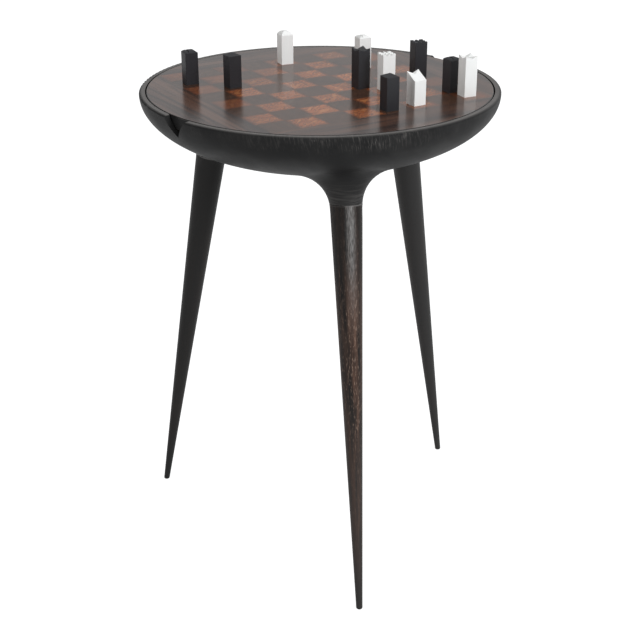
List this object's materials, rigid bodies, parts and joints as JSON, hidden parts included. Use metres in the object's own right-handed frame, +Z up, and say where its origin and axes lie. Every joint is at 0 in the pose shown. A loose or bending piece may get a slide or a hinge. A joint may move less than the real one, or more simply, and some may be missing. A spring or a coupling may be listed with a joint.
{
  "type": "chess table",
  "caption": "Round chess table: a hollow turned bowl on splayed tapered legs, closed by a lift-off inlaid chess board in a notched rim, with plain block chess pieces standing on it.",
  "frame": {"origin": "on the floor, on the upright axis of the round bowl and lid", "axes": "+Z up; the front leg stands towards -Y, and the other two legs at 30 and 150 degrees from +X towards +Y"},
  "size_m": [0.5, 0.5259, 0.743],
  "materials": {
    "ebonised_oak": "ebonised open grain, satin",
    "leg_wood": "dark stained open grain, satin",
    "panel_core": "raw panel",
    "dark_veneer": "dark brown streaked veneer, satin lacquer",
    "red_veneer": "red-brown figured veneer, satin lacquer",
    "steel": "zinc plated",
    "brass": "bare",
    "white_lacquer": "matt white lacquer",
    "black_lacquer": "matt black lacquer"
  },
  "bodies": {
    "base": {"bowl_body": "ebonised_oak", "leg_front": "leg_wood", "leg_right": "leg_wood", "leg_left": "leg_wood", "leg_hanger_bolts": "steel", "leg_thread_inserts": "brass"},
    "lid": {"lid_core": "panel_core", "lid_edge_band": "ebonised_oak", "lid_backing_veneer": "dark_veneer", "dark_squares": "dark_veneer", "light_squares": "red_veneer", "border_right": "dark_veneer", "border_back": "dark_veneer", "border_left": "dark_veneer", "border_front": "dark_veneer"},
    "white_king": {"white_king": "white_lacquer"},
    "white_queen": {"white_queen": "white_lacquer"},
    "white_rook": {"white_rook": "white_lacquer"},
    "white_bishop": {"white_bishop": "white_lacquer"},
    "white_knight": {"white_knight": "white_lacquer"},
    "black_king": {"black_king": "black_lacquer"},
    "black_rook": {"black_rook": "black_lacquer"},
    "black_bishop_left": {"black_bishop_left": "black_lacquer"},
    "black_bishop_right": {"black_bishop_right": "black_lacquer"},
    "black_pawn_left": {"black_pawn_left": "black_lacquer"},
    "black_pawn_right": {"black_pawn_right": "black_lacquer"}
  },
  "joints": [
    {"name": "lid_lift", "type": "slide", "parent": "base", "child": "lid", "axis": [0, 0, 1], "range_m": [0, 0.15]},
    {"name": "white_king_lift", "type": "slide", "parent": "lid", "child": "white_king", "axis": [0, 0, 1], "range_m": [0, 0.1]},
    {"name": "white_queen_lift", "type": "slide", "parent": "lid", "child": "white_queen", "axis": [0, 0, 1], "range_m": [0, 0.1]},
    {"name": "white_rook_lift", "type": "slide", "parent": "lid", "child": "white_rook", "axis": [0, 0, 1], "range_m": [0, 0.1]},
    {"name": "white_bishop_lift", "type": "slide", "parent": "lid", "child": "white_bishop", "axis": [0, 0, 1], "range_m": [0, 0.1]},
    {"name": "white_knight_lift", "type": "slide", "parent": "lid", "child": "white_knight", "axis": [0, 0, 1], "range_m": [0, 0.1]},
    {"name": "black_king_lift", "type": "slide", "parent": "lid", "child": "black_king", "axis": [0, 0, 1], "range_m": [0, 0.1]},
    {"name": "black_rook_lift", "type": "slide", "parent": "lid", "child": "black_rook", "axis": [0, 0, 1], "range_m": [0, 0.1]},
    {"name": "black_bishop_left_lift", "type": "slide", "parent": "lid", "child": "black_bishop_left", "axis": [0, 0, 1], "range_m": [0, 0.1]},
    {"name": "black_bishop_right_lift", "type": "slide", "parent": "lid", "child": "black_bishop_right", "axis": [0, 0, 1], "range_m": [0, 0.1]},
    {"name": "black_pawn_left_lift", "type": "slide", "parent": "lid", "child": "black_pawn_left", "axis": [0, 0, 1], "range_m": [0, 0.1]},
    {"name": "black_pawn_right_lift", "type": "slide", "parent": "lid", "child": "black_pawn_right", "axis": [0, 0, 1], "range_m": [0, 0.1]}
  ]
}
